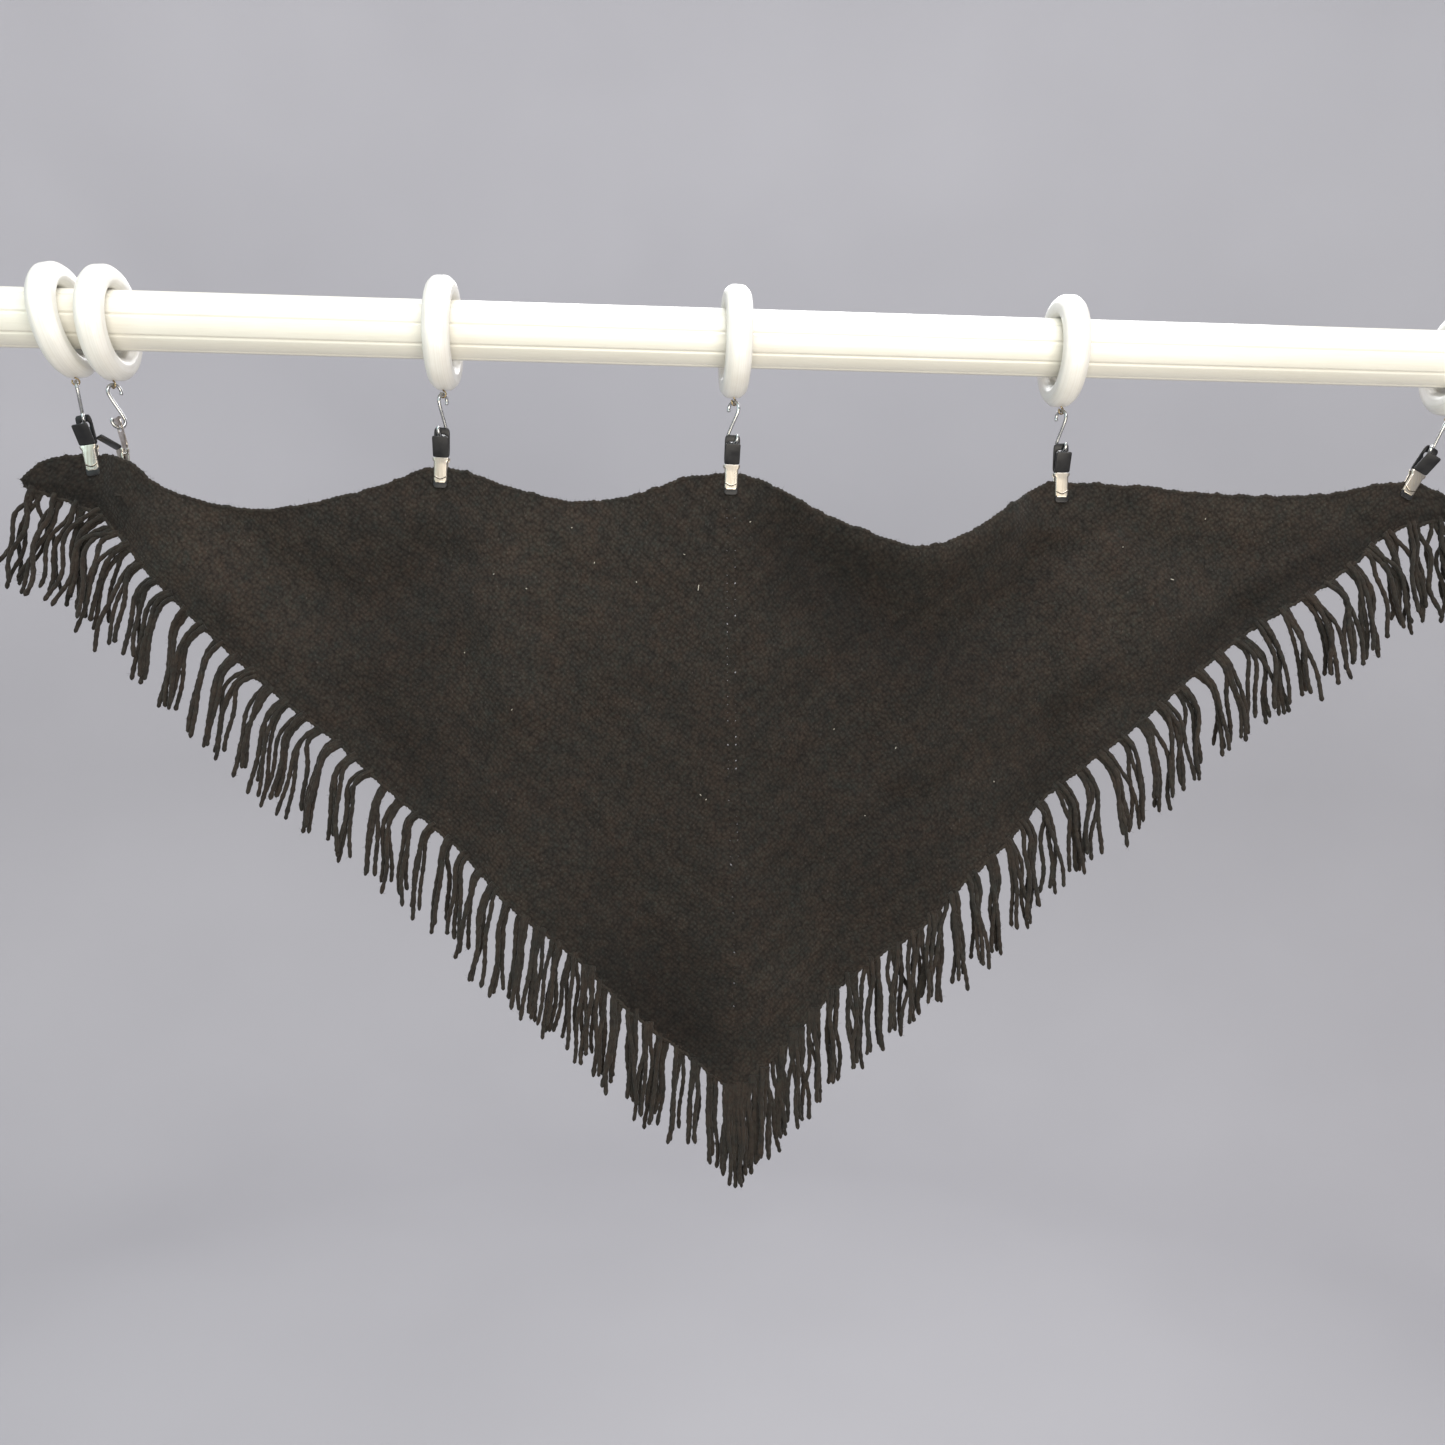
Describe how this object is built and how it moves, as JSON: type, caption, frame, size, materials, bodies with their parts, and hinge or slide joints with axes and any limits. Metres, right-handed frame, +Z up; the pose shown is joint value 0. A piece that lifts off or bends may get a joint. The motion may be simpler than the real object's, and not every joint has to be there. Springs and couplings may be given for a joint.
{
  "type": "crochet shawl on a curtain pole with clip rings",
  "caption": "Triangular dark wool crochet shawl with a yarn fringe on its two lower edges, clipped by its long edge to rings on a white grooved pole.",
  "frame": {"origin": "on the curtain pole's axis, above the shawl's spine, where the pole carries the shawl", "axes": "+X along the pole to the viewer's right, +Y away from the viewer, +Z up; the shawl's face looks along -Y"},
  "size_m": [1.45, 0.096, 0.8048],
  "materials": {
    "pole_paint": "white satin paint over turned wood with lengthwise grooves",
    "ring_paint": "white satin paint over turned wood",
    "eye_brass": "dull brass-coloured wire",
    "hook_chrome": "bright plated wire",
    "jaw_nickel": "pale nickel plate, satin",
    "grip_vinyl": "black dipped vinyl sleeve",
    "grip_chrome": "bare plated lever",
    "wool": "heathered charcoal brown wool crochet with a soft fuzz",
    "fringe_wool": "thick soft twisted wool yarn"
  },
  "bodies": {
    "root": {"curtain_pole": "pole_paint", "ring_a": "ring_paint", "screw_eye_a": "eye_brass", "s_hook_a": "hook_chrome", "clip_a_jaw": "jaw_nickel", "clip_a_rear_grip": "grip_vinyl", "clip_a_front_grip": "grip_vinyl", "ring_b": "ring_paint", "screw_eye_b": "eye_brass", "s_hook_b": "hook_chrome", "clip_b_jaw": "jaw_nickel", "clip_b_rear_grip": "grip_chrome", "clip_b_front_grip": "grip_vinyl", "ring_c": "ring_paint", "screw_eye_c": "eye_brass", "s_hook_c": "hook_chrome", "clip_c_jaw": "jaw_nickel", "clip_c_rear_grip": "grip_vinyl", "clip_c_front_grip": "grip_vinyl", "ring_d": "ring_paint", "screw_eye_d": "eye_brass", "s_hook_d": "hook_chrome", "clip_d_jaw": "jaw_nickel", "clip_d_rear_grip": "grip_vinyl", "clip_d_front_grip": "grip_vinyl", "ring_e": "ring_paint", "screw_eye_e": "eye_brass", "s_hook_e": "hook_chrome", "clip_e_jaw": "jaw_nickel", "clip_e_rear_grip": "grip_vinyl", "clip_e_front_grip": "grip_vinyl", "ring_f": "ring_paint", "screw_eye_f": "eye_brass", "s_hook_f": "hook_chrome", "clip_f_jaw": "jaw_nickel", "clip_f_rear_grip": "grip_vinyl", "clip_f_front_grip": "grip_vinyl", "shawl_left_wing": "wool", "shawl_right_wing": "wool", "fringe_left_1": "fringe_wool", "fringe_left_2": "fringe_wool", "fringe_left_3": "fringe_wool", "fringe_right_1": "fringe_wool", "fringe_right_2": "fringe_wool", "fringe_right_3": "fringe_wool"}
  },
  "joints": []
}
